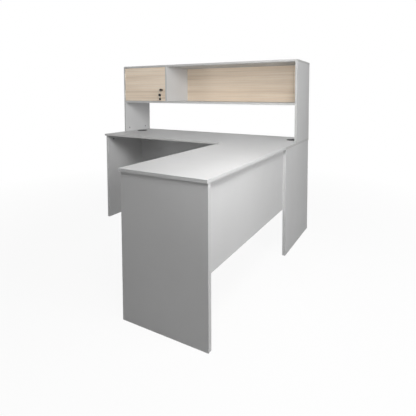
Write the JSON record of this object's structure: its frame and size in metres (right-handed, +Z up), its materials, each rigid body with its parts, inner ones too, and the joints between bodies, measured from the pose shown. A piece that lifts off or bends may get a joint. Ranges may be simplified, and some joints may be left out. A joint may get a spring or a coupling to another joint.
{
  "type": "l-shaped desk with hutch",
  "caption": "L-shaped office desk in light grey laminated board, with a return on the right, modesty panels and a hutch with a wood-look lockable cabinet and open shelf.",
  "frame": {"origin": "On the floor, at the middle of the 1700 x 1500 mm footprint", "axes": "+X along the long top toward the end with the return, +Y toward the wall behind the hutch, +Z up"},
  "size_m": [1.7, 1.5, 1.36],
  "materials": {
    "grey_melamine": "light grey melamine facing on chipboard, satin, fine texture",
    "wood_melamine": "pale oak-look melamine with horizontal grain, satin",
    "beech": "plain beech",
    "zinc_alloy": "dull die-cast zinc",
    "zinc_plated_steel": "zinc plated, slightly dull",
    "nickel_plate": "nickel plated, bright",
    "black_plastic": "fine matt black plastic",
    "clear_rubber": "soft milky bumper"
  },
  "bodies": {
    "desk": {"main_top": "grey_melamine", "return_top": "grey_melamine", "left_end_panel": "grey_melamine", "right_end_panel": "grey_melamine", "return_end_panel": "grey_melamine", "main_modesty_panel": "grey_melamine", "return_modesty_panel": "grey_melamine", "hutch_left_side": "grey_melamine", "hutch_right_side": "grey_melamine", "hutch_top": "grey_melamine", "hutch_bottom": "grey_melamine", "hutch_divider": "grey_melamine", "hutch_back": "wood_melamine", "cam_housings": "zinc_alloy", "cam_bolts": "zinc_plated_steel", "dowels": "beech", "joining_plates": "zinc_plated_steel", "plate_screws": "zinc_plated_steel", "lap_screws": "zinc_plated_steel", "hinge_side_leaves": "nickel_plate", "hinge_pins": "zinc_plated_steel", "hinge_side_screws": "nickel_plate", "lock_strike": "zinc_plated_steel", "strike_screws": "zinc_plated_steel", "door_bumper": "clear_rubber", "grommet_liner_left": "black_plastic", "grommet_liner_right": "black_plastic"},
    "door": {"cabinet_door": "wood_melamine", "hinge_door_leaves": "nickel_plate", "hinge_door_screws": "nickel_plate", "lock_housing": "nickel_plate", "lock_nut": "zinc_plated_steel"},
    "lock_core": {"lock_plug": "nickel_plate", "lock_cam": "zinc_plated_steel", "cam_screw": "zinc_plated_steel", "inserted_key_blade": "nickel_plate", "inserted_key_head": "black_plastic"},
    "ring": {"key_ring": "nickel_plate"},
    "hanging_keys": {"spare_key_blade": "nickel_plate", "spare_key_head": "black_plastic", "key_tag": "black_plastic"},
    "cap_left": {"grommet_cap_left": "black_plastic"},
    "cap_right": {"grommet_cap_right": "black_plastic"}
  },
  "joints": [
    {"name": "door_hinge", "type": "hinge", "parent": "desk", "child": "door", "pos_m": [-0.83275, 0.4273, 1.1925], "axis": [0, 0, -1], "range_deg": [0, 170]},
    {"name": "lock_turn", "type": "hinge", "parent": "door", "child": "lock_core", "pos_m": [-0.397, 0.4275, 1.14], "axis": [0, -1, 0], "range_deg": [0, 90]},
    {"name": "ring_turn", "type": "hinge", "parent": "lock_core", "child": "ring", "pos_m": [-0.397, 0.4045, 1.1212], "axis": [0, 1, 0], "range_deg": [-90, 90]},
    {"name": "key_swing", "type": "hinge", "parent": "ring", "child": "hanging_keys", "pos_m": [-0.397, 0.4045, 1.1042], "axis": [-1, 0, 0], "range_deg": [-20, 60]},
    {"name": "cap_left_turn", "type": "hinge", "parent": "desk", "child": "cap_left", "pos_m": [-0.77, 0.575, 0.75], "axis": [0, 0, 1], "continuous": true},
    {"name": "cap_right_turn", "type": "hinge", "parent": "desk", "child": "cap_right", "pos_m": [0.77, 0.575, 0.75], "axis": [0, 0, 1], "continuous": true}
  ]
}
